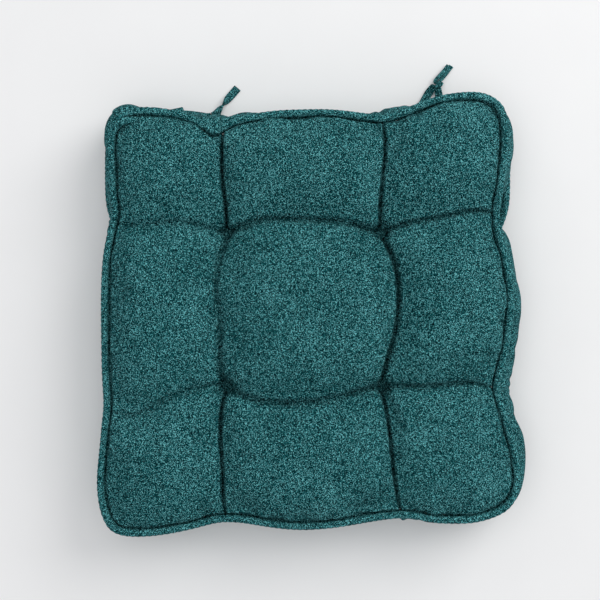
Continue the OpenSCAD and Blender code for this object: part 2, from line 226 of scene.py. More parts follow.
cover_cloth = woven("cover_cloth")
# Painted shade: the buttons' cloth is the cover cloth at 0.55 of its brightness, standing in for
# the shade down in the tufts' pits
button_cloth_painted_shade = woven("button_cloth_painted_shade", shade=0.55)
# Painted highlight: the piping's cloth is the cover cloth made 12% lighter, standing in for the
# light along the piping's round top
piping_cloth_painted_highlight = woven("piping_cloth_painted_highlight", turn=math.radians(45), shade=1.12)
tie_cloth = woven("tie_cloth")
cotton = plain("cotton", (0.55, 0.52, 0.45), (0.80, 0.78, 0.72), 900, 0.75, 0.2 * MM, (1, 1, 3))
fibre = plain("polyester_fibre", (0.72, 0.72, 0.71), (0.90, 0.90, 0.89), 260, 0.7, 0.6 * MM)
moulded = plain("moulded_plastic", (0.22, 0.23, 0.24), (0.27, 0.28, 0.29), 700, 0.35, 0.05 * MM)


def board():
    """The floor's matt board, very faintly uneven."""
    s = Shader("pale_board")
    grain = s.noise(s.node("TexCoord").outputs["Object"], 9.0, 3.0)
    colour = s.ramp(grain, [(0.3, (0.815, 0.82, 0.83)), (0.7, (0.835, 0.84, 0.85))])
    return s.finish(colour, 0.8, s.bump(grain, 0.02, 1 * MM))


floor_mesh = bpy.data.meshes.new("floor")
floor_mesh.from_pydata([(-3, -3, 0), (3, -3, 0), (3, 3, 0), (-3, 3, 0)], [], [(0, 1, 2, 3)])
floor_mesh.materials.append(board())
floor = link(bpy.data.objects.new("floor", floor_mesh))

# ---- curves and surfaces -------------------------------------------------------------------------

SPAN_STEPS = 10


def curve(points, closed=False, dims=3):
    """A dense smooth curve through the points: SPAN_STEPS points for each span between them.
    Only the first dims columns are a place; the others are carried along."""
    p = np.array(points, float)
    ends = (p[-1:], p[:2]) if closed else (2 * p[:1] - p[1:2], 2 * p[-1:] - p[-2:-1])
    p = np.vstack([ends[0], p, ends[1]])
    gap = np.linalg.norm(np.diff(p[:, :dims], axis=0), axis=1)[:, None] ** 0.5
    slope = np.diff(p, axis=0) / gap
    tangent = (slope[1:] * gap[:-1] + slope[:-1] * gap[1:]) / (gap[:-1] + gap[1:])
    t = (np.arange(SPAN_STEPS) / SPAN_STEPS)[:, None]
    spans = [
        (2 * t**3 - 3 * t**2 + 1) * p[i + 1] + (t**3 - 2 * t**2 + t) * gap[i + 1] * tangent[i]
        + (3 * t**2 - 2 * t**3) * p[i + 2] + (t**3 - t**2) * gap[i + 1] * tangent[i + 1]
        for i in range(len(tangent) - 1)]
    return np.vstack(spans + ([] if closed else [p[-2:-1]]))


def lengths(p, dims=3):
    """Distance along a line of points to each of them."""
    step = np.linalg.norm(np.diff(p[:, :dims], axis=0), axis=1)
    return np.concatenate([[0], np.cumsum(step)])


def at_shares(p, shares, dims=3):
    """Points at these shares of a line's length."""
    s = lengths(p, dims)
    places = np.asarray(shares) * s[-1]
    return np.stack([np.interp(places, s, p[:, c]) for c in range(p.shape[1])], 1)


def ease(n, share=0.5):
    """n + 1 shares from 0 to 1, closer together near both ends."""
    t = np.arange(n + 1) / n
    return (1 - share) * t + share * (1 - np.cos(np.pi * t)) / 2


def make_object(name, points, faces, material):
    mesh = bpy.data.meshes.new(name)
    mesh.from_pydata(np.asarray(points).tolist(), [], faces)
    if material is not None:
        mesh.materials.append(material)
    return link(bpy.data.objects.new(name, mesh))


def set_weave(mesh, corner_uv):
    """The cloth's place in the weave at each corner of each face, in metres."""
    layer = mesh.uv_layers.new(name="weave")
    layer.data.foreach_set("uv", np.asarray(corner_uv, np.float32).ravel())


def surface(name, points, uv, material, wrap=False, flip=False, caps=False):
    """A mesh from rows of points. uv has one more column where the rows close on themselves."""
    rows, cols = points.shape[:2]
    faces, corners = [], []
    for i in range(rows - 1):
        for j in range(cols if wrap else cols - 1):
            k = (j + 1) % cols
            face = [(i, j, j), (i, k, j + 1), (i + 1, k, j + 1), (i + 1, j, j)]
            if flip:
                face.reverse()
            faces.append([a * cols + b for a, b, _ in face])
            corners += [uv[a, c] for a, _, c in face]
    for row, turned in ((0, not flip), (rows - 1, flip)) if caps else ():
        face = list(range(cols))
        if turned:
            face.reverse()
        faces.append([row * cols + b for b in face])
        middle = uv[row].mean(0)
        around = points[row] - points[row].mean(0)
        corners += [middle + (around[b, 0], around[b, 1] + around[b, 2]) for b in face]
    obj = make_object(name, points.reshape(-1, 3), faces, material)
    set_weave(obj.data, corners)
    return obj


def grid_faces(index):
    return [[index[j, i], index[j, i + 1], index[j + 1, i + 1], index[j + 1, i]]
            for j in range(len(index) - 1) for i in range(len(index[0]) - 1)]


def ring_faces(inner, outer):
    """Faces between two closed rings of points, the second outside or below the first."""
    n = len(inner)
    return [[inner[k], outer[k], outer[(k + 1) % n], inner[(k + 1) % n]] for k in range(n)]


def sheet(name, points, faces, material):
    """A mesh whose weave lies as seen from above."""
    obj = make_object(name, points, faces, material)
    set_weave(obj.data, [points[v][:2] for face in faces for v in face])
    return obj


def bake_modifiers(obj):
    """Replaces the object's mesh with what its modifiers make of it."""
    graph = bpy.context.evaluated_depsgraph_get()
    made = bpy.data.meshes.new_from_object(obj.evaluated_get(graph), depsgraph=graph)
    made.name = obj.name
    obj.modifiers.clear()
    obj.data = made


def smooth(obj, levels=1):
    """Smooth shading, after that many levels of subdivision."""
    if levels:
        subdivide = obj.modifiers.new("subdivide", "SUBSURF")
        subdivide.levels = subdivide.render_levels = levels
        subdivide.uv_smooth = "NONE"
        subdivide.boundary_smooth = "ALL"
        bake_modifiers(obj)
    obj.data.polygons.foreach_set("use_smooth", [True] * len(obj.data.polygons))
    obj.data.update()


def get_points(mesh):
    co = np.empty(len(mesh.vertices) * 3, np.float32)
    mesh.vertices.foreach_get("co", co)
    return co.reshape(-1, 3).astype(float)


def set_points(mesh, points):
    mesh.vertices.foreach_set("co", np.asarray(points, np.float32).ravel())
    mesh.update()


def settle(obj, slot, *nodes):
    """The piece rides on the body and stands for those CAD nodes, which it hides. The slot is not
    used.
    """
    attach(obj, "root")
    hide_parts(*nodes)


# ---- ties ----------------------------------------------------------------------------------------

# A tie's route as in the CAD: x, y, z in mm, then the direction of its width and the share of its
# full width that it has there
TIES = {
    "tie_left_1": [
        (-151, 197, 19, 1, 0, 0, 1), (-151, 201, 17.5, 1, 0, 0, 1), (-150, 203, 12, 1, 0, 0, 1),
        (-147, 203, 7, 0.8, 0, 0.6, 1), (-142, 201, 3, 0.2, 0.7, 0.7, 1),
        (-135, 200, 1, 0, 1, 0, 1), (-127, 202, 1.4, -0.2, 1, 0, 1), (-124, 203, 3, -0.3, 1, 0, 1),
        (-127, 202, 4.6, -0.2, 1, 0, 1), (-137, 200, 4.2, 0, 1, 0, 1), (-140, 199, 6, 0, 1, 0, 1),
        (-137, 199, 7.6, 0, 1, 0, 1), (-127, 199, 6.6, 0, 1, 0, 1), (-117, 199, 3, 0, 1, 0, 1),
        (-107, 198, 1, 0, 1, 0, 1), (-99, 197, 1, 0.3, 1, 0, 1),
        (-93, 199, 1.6, 0.7, -0.7, 0.2, 1), (-88, 204, 3, 0.6, -0.5, 0.6, 1),
        (-84, 209, 4.2, 0, 0, 1, 1), (-80, 214, 3.4, -0.6, 0.5, 0.6, 1),
        (-75, 220, 1.6, -0.7, 0.6, 0.2, 1), (-70, 226, 1, -0.8, 0.6, 0, 1)],
    "tie_left_2": [
        (-160, 197, 19, 1, 0, 0, 1), (-160, 201, 17.5, 1, 0, 0, 1), (-160, 203, 12, 1, 0, 0, 1),
        (-160, 203, 6, 1, 0, 0, 1), (-160, 199, 1.6, 1, 0, 0, 1), (-158, 193, 1, 0.9, 0.4, 0, 1),
        (-151, 189, 1, 0.4, 0.9, 0, 1), (-138, 189, 1, 0, 1, 0, 1), (-122, 189, 1, 0, 1, 0, 1),
        (-106, 189, 1, 0, 1, 0, 1), (-94, 189, 1, 0, 1, 0, 1), (-84, 192, 3, 0, 0.8, 0.6, 1),
        (-75, 196, 4.2, 0, 0.3, 1, 1), (-66, 199, 4.4, 0, 0.2, 1, 1), (-57, 200, 4.4, 0, 0, 1, 1),
        (-49, 198, 4.2, 0, -0.2, 1, 1), (-42, 195, 3.6, 0, -0.7, 0.7, 1)],
    "tie_right_1": [
        (151, 197, 19, 1, 0, 0, 1), (151, 201, 17.5, 1, 0, 0, 1), (150, 203, 12, 1, 0, 0, 1),
        (147, 203, 7, 0.8, 0, -0.6, 1), (142, 201, 3, 0.2, -0.7, -0.7, 1),
        (134, 200, 1, 0, -1, 0, 1), (120, 200, 1, 0, -1, 0, 1), (109, 199, 1.2, 0, -1, 0, 1),
        (105, 199, 3, 0, -1, 0, 1), (108, 201, 4.8, 0.3, -1, 0, 1), (113, 207, 4, 0.7, -0.7, 0, 1),
        (117, 214, 2, 0.9, -0.5, 0, 1), (121, 221, 2.4, 0.9, -0.4, 0.1, 1),
        (125, 226, 5, 0.9, -0.2, 0.4, 0.9), (130, 228, 8, 0.5, 0.9, 0, 0.6),
        (134, 229, 5, 0.5, 0.9, 0, 0.5), (131, 231, 1.2, 0.5, 0.9, 0, 0.5),
        (127, 232, 4, 0.5, 0.9, 0.2, 0.5), (131, 237, 5.4, 0.8, -0.5, 0.3, 0.5),
        (135.5, 242, 4, 0.8, -0.5, 0.1, 0.5), (140.5, 248, 2.8, 0.8, -0.5, 0, 0.6)],
    "tie_right_2": [
        (160, 197, 19, 1, 0, 0, 1), (160, 201, 17.5, 1, 0, 0, 1), (160, 203, 12, 1, 0, 0, 1),
        (160, 203, 6, 1, 0, 0, 1), (160, 199, 1.6, 1, 0, 0, 1), (158, 193, 1, 0.9, -0.4, 0, 1),
        (150, 189, 1, 0.4, -0.9, 0, 1), (137, 189, 1, 0, -1, 0, 1), (125, 190, 1, 0, -1, 0, 1),
        (121, 192, 3.2, 0, -1, 0, 1), (126, 193, 4.8, 0, -1, 0, 1),
        (131, 197, 5, 0.8, -0.6, 0.1, 1), (133, 204, 5, 1, 0.1, 0.3, 1),
        (132, 211, 5, 0.9, 0.2, 0.4, 1), (131, 217, 4.4, 0.9, 0, 0.4, 1),
        (130, 224, 4.4, 0.9, 0.1, 0.4, 0.9), (131, 231, 4.4, 0.7, 0, 0.7, 0.5),
        (135, 236, 3, 0.6, -0.3, 0.6, 0.5), (139.5, 242, 1.6, 0.8, -0.5, 0.1, 0.5),
        (143.5, 248, 1, 0.8, -0.5, 0, 0.6)],
}
TIE_W, TIE_T = 8 * MM, 1.6 * MM
# Its section, as shares of half its width and thickness: a folded tape, sewn along one side
TIE_SECTION = np.array([
    (1, 0), (0.97, 0.6), (0.86, 1), (0.72, 0.72), (0.58, 1), (0, 1.05), (-0.6, 1), (-0.93, 0.85),
    (-1, 0), (-0.93, -0.85), (-0.6, -1), (0, -1.05), (0.58, -1), (0.72, -0.72), (0.86, -1),
    (0.97, -0.6)])


def tape(tie, route):
    """A tie's tape along its route, which lies on the floor where it would dip below it."""
    line = curve(np.array(route, float) * ([K] * 3 + [1] * 4))
    count = round(lengths(line)[-1] / (1.2 * MM))
    line = at_shares(line, np.arange(count + 1) / count)
    along = np.gradient(line[:, :3], axis=0)
    along /= np.linalg.norm(along, axis=1)[:, None]
    wide = line[:, 3:6] - (line[:, 3:6] * along).sum(1)[:, None] * along
    wide /= np.linalg.norm(wide, axis=1)[:, None]
    thick = np.cross(along, wide)
    section = TIE_SECTION * (TIE_W / 2, TIE_T / 2)
    rings = (line[:, None, :3] + section[None, :, :1] * line[:, None, 6:7] * wide[:, None]
             + section[None, :, 1:] * thick[:, None])
    rings[:, :, 2] = np.maximum(rings[:, :, 2], 0.05 * MM)
    across = np.concatenate([[0], np.cumsum(np.linalg.norm(np.diff(
        np.vstack([section, section[:1]]), axis=0), axis=1))])
    uv = np.stack(np.meshgrid(across, lengths(line), indexing="xy"), -1)
    obj = surface(tie + "_tape", rings, uv, tie_cloth, wrap=True, caps=True)
    smooth(obj, 0)
    settle(obj, "tie_fabric", tie)


for tie, route in TIES.items():
    tape(tie, route)

# ---- the cushion's lines -------------------------------------------------------------------------

# The top seam, seen from above, in mm: x, y, and how far the boxing's middle stands out beyond it.
# Twelve runs, anticlockwise from the front left corner, each starting at a corner's middle or
# where a crease meets the edge.
SEAM = [
    [(-183, -198, 5), (-177, -201.5, 7), (-162, -203, 9.5), (-141, -201.5, 10), (-118, -197.5, 10),
     (-104, -194, 10), (-91, -190.5, 10)],
    [(-78, -189, 10.5), (-59, -190, 10), (-36, -194, 10), (-8, -197, 10), (29, -194, 10),
     (51, -190, 10.5), (74, -186.5, 12)],
    [(88, -185.5, 15), (104, -186.5, 14), (119, -190, 12.5), (133, -190.5, 13), (156, -190, 12.5),
     (170, -186.5, 12.5), (181, -182, 11.5)],
    [(187, -177, 11), (191, -171, 12), (195, -157, 12.5), (193, -137, 16), (189, -120, 17.5),
     (184, -102, 17), (178, -83, 18)],
    [(175, -69, 19.5), (178, -51, 19.5), (184, -30, 18), (187, -8, 17.5), (189, 14, 16.5),
     (183, 55, 14.5), (178, 70, 15.5), (175, 86, 11)],
    [(174.5, 97, 9.5), (176, 110, 9.5), (178.5, 122, 11.5), (181.5, 147, 15), (183, 168, 14.5),
     (182, 185, 13)],
    [(179, 194, 10.5), (173, 200, 9), (164, 204, 8), (145, 204, 8), (123.5, 200.5, 9),
     (102, 192, 12.5), (83, 185, 16.5)],
    [(71, 182.5, 16), (50, 184.5, 12), (22, 188, 9.5), (-8, 187.5, 9.5), (-26, 187, 10),
     (-49, 184, 12.5), (-68, 179.5, 15.5)],
    [(-81, 173, 22), (-87.5, 169.5, 26), (-93, 171, 25), (-104.5, 179, 16), (-119, 185, 12),
     (-141, 189, 11.3), (-160, 190, 12.5), (-171, 188, 17)],
    [(-178, 183, 19), (-182, 175, 18), (-183, 163, 16.5), (-182, 140, 17), (-181, 116, 15.5),
     (-179, 98, 14)],
    [(-181, 86, 15), (-184, 73, 13.5), (-187.5, 53, 11), (-189, 15, 10), (-189, -15, 10),
     (-188, -60, 10), (-186.5, -80, 10)],
    [(-187, -92, 10), (-188.5, -105, 10), (-190, -122, 10), (-192, -141, 9.5), (-193, -160, 9),
     (-191, -179, 9), (-187, -192, 6)],
]
# Creases between the edge and the tufts, in mm: those that run front to back, then left to right.
# Each has three parts, and the ends of the parts are edge points and tufts.
FRONT_TO_BACK = [
    [[(-80, -176), (-81, -146), (-82.5, -119), (-82, -89)],
     [(-82.5, -56), (-83.5, -41), (-83.5, -12), (-85, 6), (-87.5, 28), (-84.5, 52), (-79, 67)],
     [(-78, 105), (-81, 128), (-81.5, 152)]],
    [[(85.5, -176), (81.5, -152), (80, -138), (78, -119), (75, -95)],
     [(75, -42), (82, -19), (85.5, 6), (85.5, 28.5), (82, 49), (75, 65.5)],
     [(68.5, 104), (71, 133), (73, 160)]],
]
LEFT_TO_RIGHT = [
    [[(-170, -95.5), (-155, -92), (-133, -79), (-110, -70.5), (-91, -67.5)],
     [(-66, -74), (-43, -82), (-18, -83.5), (11, -81.5), (33, -76.5), (55, -70.5)],
     [(82, -67), (104, -67.5), (122.5, -66.5), (141, -64.5), (160, -65)]],
    [[(-165, 85), (-150, 85), (-128, 88), (-104.5, 84.5), (-89, 80)],
     [(-64.5, 83), (-43, 90), (-10, 90), (26, 88.5), (47.5, 84.5)],
     [(82.5, 83), (101.5, 88.5), (123.5, 92), (145, 97), (162, 98.5)]],
]
PATCH = 34  # grid steps across each pillow
SHARES = ease(PATCH, 0.8)
RIM_Z = TOP_Z - 2.0 * MM  # where the panel is sewn in, down beside the piping
CREASE_RISE = 2 * MM  # of a crease's middle above the seam
LOOSE = 12 * MM  # height above the seam at which the unstitched cover lies along the creases

seam_line = curve([p for run in SEAM for p in run], closed=True, dims=2) * K
seam_line = np.vstack([seam_line, seam_line[:1]])
starts = np.cumsum([0] + [len(run) for run in SEAM]) * SPAN_STEPS
runs = [at_shares(seam_line[a:b + 1], SHARES, dims=2)
        for a, b in zip(starts[:-1], starts[1:])]  # x, y and the bulge, PATCH + 1 points a run
# 0, 3, 6 and 9 are corners, and creases end at the others
edge_point = [run[0, :2] for run in runs]


def inside_seam(xy):
    """Nearly 1 over most of the top, and 0 at the seam."""
    return (1 - (np.abs(xy[:, :2]) / HALF) ** 4).clip(0).prod(1)


def crease_z(xy):
    """Height of a stitched crease at a place seen from above, deepest at the tufts."""
    d = np.min([np.hypot(xy[:, 0] - t[0], xy[:, 1] - t[1]) for t in top_tufts], axis=0)
    fall = 0.6 * np.exp(-(d / (9 * MM)) ** 2) + 0.4 * np.exp(-(d / (28 * MM)) ** 2)
    return (TOP_Z + 1 * MM + CREASE_RISE * inside_seam(xy)) * (1 - fall) + top_tufts[0][2] * fall


def crease(start, middle, end, depth=0.0):
    """A crease's points from start to end, seen from above as drawn, before it is stitched down."""
    xy = at_shares(curve(np.vstack([[start], np.array(middle) * K, [end]]), dims=2), SHARES, dims=2)
    return np.column_stack([xy, TOP_Z + LOOSE * inside_seam(xy) - depth * np.sin(np.pi * SHARES)])


tuft_xy = [t[:2] for t in top_tufts]
columns = [
    [crease(edge_point[1], FRONT_TO_BACK[0][0], tuft_xy[0], 3 * MM),
     crease(tuft_xy[0], FRONT_TO_BACK[0][1], tuft_xy[2], 1 * MM),
     crease(tuft_xy[2], FRONT_TO_BACK[0][2], edge_point[8], 3 * MM)],
    [crease(edge_point[2], FRONT_TO_BACK[1][0], tuft_xy[1], 3 * MM),
     crease(tuft_xy[1], FRONT_TO_BACK[1][1], tuft_xy[3], 1 * MM),
     crease(tuft_xy[3], FRONT_TO_BACK[1][2], edge_point[7], 3 * MM)],
]
rows = [
    [crease(edge_point[11], LEFT_TO_RIGHT[0][0], tuft_xy[0]),
     crease(tuft_xy[0], LEFT_TO_RIGHT[0][1], tuft_xy[1], -1 * MM),
     crease(tuft_xy[1], LEFT_TO_RIGHT[0][2], edge_point[4])],
    [crease(edge_point[10], LEFT_TO_RIGHT[1][0], tuft_xy[2]),
     crease(tuft_xy[2], LEFT_TO_RIGHT[1][1], tuft_xy[3], -1 * MM),
     crease(tuft_xy[3], LEFT_TO_RIGHT[1][2], edge_point[5])],
]


def with_z(run, backwards=False):
    """A run of the seam as a line of points at the seam's height."""
    line = np.column_stack([run[:, :2], np.full(len(run), RIM_Z)])
    return line[::-1] if backwards else line


for parts in columns + rows:
    parts[0][0, 2] = parts[2][-1, 2] = RIM_Z

# Boundary lines of the three by three pillows: level[j][i] runs left to right below pillow row j,
# and upright[i][j] runs front to back on the left of pillow column i
level = [[with_z(runs[0]), with_z(runs[1]), with_z(runs[2])], rows[0], rows[1],
         [with_z(runs[8], True), with_z(runs[7], True), with_z(runs[6], True)]]
upright = [[with_z(runs[11], True), with_z(runs[10], True), with_z(runs[9], True)],
           columns[0], columns[1], [with_z(runs[3]), with_z(runs[4]), with_z(runs[5])]]
CROWN = [[14, 14, 14], [14, 15, 14.5], [14.5, 14.5, 15]]  # mm, by row from the front
PUFF = 0.7  # below 1 a pillow is flatter on top and steeper beside its creases
N = 3 * PATCH  # grid steps across the cushion


def nine_patches(level, upright):
    """A grid of points, [along y, along x], that fills the nine areas between the lines."""
    grid = np.zeros((N + 1, N + 1, 3))
    u, v = SHARES[None, :, None], SHARES[:, None, None]
    for j in range(3):
        for i in range(3):
            low, high, left, right = level[j][i], level[j + 1][i], upright[i][j], upright[i + 1][j]
            grid[j * PATCH:(j + 1) * PATCH + 1, i * PATCH:(i + 1) * PATCH + 1] = (
                (1 - v) * low[None] + v * high[None] + (1 - u) * left[:, None] + u * right[:, None]
                - (1 - u) * (1 - v) * low[0] - u * (1 - v) * low[-1]
                - (1 - u) * v * high[0] - u * v * high[-1])
    return grid


def rim_of(grid):
    """The grid's rim, anticlockwise from its front left corner."""
    return np.vstack([grid[0, :-1], grid[:-1, -1], grid[-1, :0:-1], grid[:0:-1, 0]])


top_grid = nine_patches(level, upright)
puff = (4 * SHARES * (1 - SHARES)) ** PUFF
for j in range(3):
    for i in range(3):
        # Lines between two pillows get no crown: it is 0 there
        top_grid[j * PATCH:(j + 1) * PATCH + 1, i * PATCH:(i + 1) * PATCH + 1, 2] += (
            CROWN[j][i] * MM * puff[:, None] * puff[None, :])
rim_ji = rim_of(np.stack(np.mgrid[:N + 1, :N + 1], -1))
rim_index = rim_ji[:, 0] * (N + 1) + rim_ji[:, 1]
rim = rim_of(top_grid)
SIDE_MORE = np.array([-1.5, 1.5, 0, -2]) * MM  # front, right, back and left, as in the photo
bulge = np.concatenate([run[:-1, 2] for run in runs]) + np.repeat(SIDE_MORE, N)
RIM_N = len(rim)


def ring_smooth(values, reach):
    """A running mean round a closed ring, over that many places on each side."""
    kernel = np.hanning(2 * reach + 3)[1:-1]
    padded = np.concatenate([values[-reach:], values, values[:reach]])
    if values.ndim == 1:
        return np.convolve(padded, kernel / kernel.sum(), "valid")
    return np.stack([np.convolve(c, kernel / kernel.sum(), "valid") for c in padded.T], 1)


def outward(ring, reach):
    """The level direction out of a closed ring at each of its points."""
    along = ring_smooth(np.roll(ring[:, :2], -1, 0) - np.roll(ring[:, :2], 1, 0), reach)
    side = np.stack([along[:, 1], -along[:, 0], 0 * along[:, 0]], 1)
    return side / np.linalg.norm(side, axis=1)[:, None]


rim_out = outward(rim, 5)
middle_out = outward(rim, 14)

# The bottom seam: the CAD's rounded square with its waists, in step with the top one
WAIST, WAIST_W = 10 * MM, 20 * MM
SEAM_IN = PIPING_R + 0.15 * MM  # from the piping's middle
REACH, CORNER_R = HALF - SEAM_IN, 34 * MM - SEAM_IN  # half the seam's width, and its corners
BOXING_END, PANEL_END = BASE_Z + 1 * MM, BASE_Z - 1 * MM  # heights of the two layers at that seam
xs, ys = (top_tufts[0][0], top_tufts[1][0]), (top_tufts[0][1], top_tufts[2][1])


def base_side(s, across):
    """[along, outwards] of the bottom seam on one side, for places s along it."""
    past = (np.abs(s) - (REACH - CORNER_R)).clip(0)
    turned = np.sin(np.pi / 4 * (past / CORNER_R).clip(0, 1))
    along = np.where(past > 0, np.sign(s) * (REACH - CORNER_R + CORNER_R * turned), s)
    fall = CORNER_R - np.sqrt(CORNER_R**2 - (CORNER_R * turned) ** 2)
    drawn = sum(WAIST * np.exp(-((along - t) / WAIST_W) ** 2) for t in across)
    return along, REACH - fall - drawn


def base_run(across, backwards, to_xy):
    """One side of the bottom seam, whose waists are at the places across."""
    ends = [-REACH, *across, REACH]
    if backwards:
        ends = ends[::-1]
    places = np.concatenate([a + (b - a) * SHARES[:-1] for a, b in zip(ends, ends[1:])])
    return to_xy(*base_side(places, across))


base_rim = np.vstack([
    base_run(xs, False, lambda a, o: np.stack([a, -o], 1)),
    base_run(ys, False, lambda a, o: np.stack([o, a], 1)),
    base_run(xs, True, lambda a, o: np.stack([a, o], 1)),
    base_run(ys, True, lambda a, o: np.stack([-o, a], 1))])
base_rim = np.column_stack([base_rim, np.full(RIM_N, BOXING_END)])
base_out = outward(base_rim, 8)

# ---- boxing, as rows from the top seam down ------------------------------------------------------

BOX_ROWS = 15
GATHERED = 26 * MM  # the boxing is gathered this far to each side of a crease's end
INFLATED = 2 * MM  # what the cloth adds to the boxing's bulge
angle = np.pi * ease(BOX_ROWS, 0.15)
ring_length = lengths(np.vstack([rim, rim[:1]]))
round_the_side = ring_length[:-1]
drawn_in = np.zeros(RIM_N)
for k in range(0, RIM_N, PATCH):
    if k % N:
        off = np.abs(round_the_side - round_the_side[k])
        drawn_in += np.exp(-(off / GATHERED) ** 2)
uneven = 3 * np.sin(round_the_side / (31 * MM))
gathers = drawn_in * (0.9 * np.sin(round_the_side / (1.7 * MM) + uneven)
                      + 0.6 * np.sin(round_the_side / (3.1 * MM))) * MM
middle_z = (TOP_Z + BASE_Z) / 2
middle = rim + middle_out * (bulge - INFLATED)[:, None]
middle[:, 2] = middle_z
boxing_rows = []
for a in angle:
    swell = math.sin(a) ** 0.8
    seam = rim if a <= np.pi / 2 else base_rim
    pinch = gathers * math.sin(a) * abs(math.cos(a)) * 2
    row = seam + (middle - seam) * swell + middle_out * pinch[:, None]
    row[:, 2] = middle_z + (seam[:, 2] - middle_z) * abs(math.cos(a))
    boxing_rows.append(row)
boxing_rows = np.array(boxing_rows)

# ---- folds that are drawn in ---------------------------------------------------------------------

# Depth and width in mm, which ends fade out, and the line seen from above in mm
FOLDS = [
    (5.0, 3.4, "end", [(72, -72), (78, -81), (83.5, -100), (87.5, -119)]),
    (2.4, 3.4, "both", [(-80, 30), (-81.5, 5), (-83.5, -15)]),
    (3.2, 8.5, "both", [(-97, 176), (-92, 160), (-87, 133), (-84, 110)]),
    (3.2, 5.1, "end", [(-17, 187), (-18, 157)]),
    (1.8, 3.4, "end", [(-5.5, 187), (-5.5, 165)]),
    (2.0, 4.25, "end", [(21, 187), (23, 160)]),
    (2.4, 4.25, "end", [(63.5, 182), (62.5, 155)]),
    (2.8, 4.25, "end", [(84.5, 185), (84.5, 157)]),
    (4.0, 8.5, "end", [(117, 199), (119, 165), (119, 138)]),
    (1.6, 3.4, "end", [(106, 194), (107, 177)]),
    (1.6, 3.4, "end", [(133, 203), (132, 184)]),
    (2.8, 4.25, "end", [(-97.5, -192), (-97.5, -160)]),
    (2.4, 4.25, "end", [(-24, -196), (-22, -162)]),
    (2.4, 4.25, "end", [(-7.5, -198), (-6, -165)]),
    (2.0, 3.74, "end", [(7.5, -197), (8, -168)]),
    (2.0, 3.74, "end", [(21, -195), (20, -170)]),
    (2.6, 4.25, "end", [(54, -190), (53, -157)]),
    (2.0, 3.74, "end", [(111, -188), (111, -165)]),
    (2.0, 3.74, "end", [(130, -191), (129, -168)]),
    (1.8, 3.74, "end", [(144.5, -191), (143, -170)]),
    (2.4, 10.2, "both", [(90, -88), (108, -103), (128, -114)]),
]


def nearest(places, line):
    """Each place's distance to a line, and the share of the line it is level with, from above."""
    place, a, b = places[:, None, :2], line[None, :-1], line[None, 1:]
    along = (((place - a) * (b - a)).sum(2) / ((b - a) ** 2).sum(2).clip(1e-12)).clip(0, 1)
    gap = np.linalg.norm(place - a - along[..., None] * (b - a), axis=2)
    best = gap.argmin(1)
    pick = np.arange(len(places))
    s = lengths(line, 2)
    return gap[pick, best], (s[best] + along[pick, best] * np.diff(s)[best]) / s[-1]


def sink(points, line, depth, width, fade, lips=0.3):
    """Presses a groove with raised lips into the points, along a line seen from above."""
    box_lo, box_hi = line.min(0) - 5 * width, line.max(0) + 5 * width  # beyond it nothing moves
    near = np.flatnonzero(((points[:, :2] > box_lo) & (points[:, :2] < box_hi)).all(1))
    gap, share = nearest(points[near], line)
    d = gap / width
    strength = {"none": 1, "end": 1 - share**1.5, "both": np.sin(np.pi * share)}[fade]
    press = np.exp(-d**2) - lips * np.exp(-((d - 2.3) / 1.1) ** 2)
    points[near, 2] -= depth * strength * press


# ---- cloth: the whole cover filled like a balloon, held at its seams and tufts -------------------

FRAMES = 20
CAP = 7 * MM  # the furthest that the cloth may move a point
HIGH, CEILING = 82 * MM, 100 * MM  # above the first, pillows are flattened to stay under the second
BUTTON_REST = 6.5 * MM  # the cloth is held this far round a tuft's middle


def inflate(points, faces, hold):
    """The points after Blender's cloth has blown the cover up, with hold as the pinning weights."""
    obj = make_object("inflate", points, faces, None)
    group = obj.vertex_groups.new(name="hold")
    steps = np.round(hold, 2)
    for weight in np.unique(steps):
        if weight > 0:
            group.add(np.flatnonzero(steps == weight).tolist(), float(weight), "REPLACE")
    cloth = obj.modifiers.new("cloth", "CLOTH")
    setting = cloth.settings
    setting.quality = 6
    setting.mass = 0.12
    setting.tension_stiffness = setting.compression_stiffness = 14
    setting.shear_stiffness = 6
    setting.bending_stiffness = 0.12
    setting.tension_damping = setting.compression_damping = setting.shear_damping = 8
    setting.vertex_group_mass = "hold"
    setting.pin_stiffness = 1.0
    setting.use_pressure = True
    setting.uniform_pressure_force = 5.0
    setting.shrink_min = -0.05
    setting.effector_weights.gravity = 0
    cloth.point_cache.frame_start, cloth.point_cache.frame_end = 1, FRAMES
    for number in range(1, FRAMES + 1):
        scene.frame_set(number)
    made = obj.evaluated_get(bpy.context.evaluated_depsgraph_get())
    moved = get_points(made.data)
    bpy.data.objects.remove(obj)
    return moved


# The cover's points: the top, the boxing from the top seam down, and the middle of the base
grid_n = (N + 1) ** 2
below = boxing_rows[1:].reshape(-1, 3)
points = np.vstack([top_grid.reshape(-1, 3), below, [[0, 0, 2 * MM]]])
index = np.arange(grid_n).reshape(N + 1, N + 1)
rings = [rim_index] + [grid_n + r * RIM_N + np.arange(RIM_N) for r in range(BOX_ROWS)]
skin = grid_faces(index)
for upper, lower in zip(rings, rings[1:]):
    skin += ring_faces(upper, lower)
closed = skin + [[rings[-1][(k + 1) % RIM_N], rings[-1][k], len(points) - 1] for k in range(RIM_N)]

# How firmly each point is held, from 0, free, to 1, fixed
hold_grid = np.zeros((N + 1, N + 1))
hold_grid[[0, -1]] = hold_grid[:, [0, -1]] = 1
for column in (PATCH, 2 * PATCH):
    hold_grid[:PATCH, column] = hold_grid[2 * PATCH:, column] = 0.9
    hold_grid[PATCH:2 * PATCH, column] = 0.6
for row in (PATCH, 2 * PATCH):
    hold_grid[row, :] = np.maximum(hold_grid[row, :], 0.45)
for t in top_tufts:
    near = np.hypot(top_grid[..., 0] - t[0], top_grid[..., 1] - t[1])
    hold_grid[near < BUTTON_REST] = 1
hold_box = np.full((BOX_ROWS, RIM_N), 0.2)
hold_box[-1] = 1
hold = np.concatenate([hold_grid.ravel(), hold_box.ravel(), [1]])

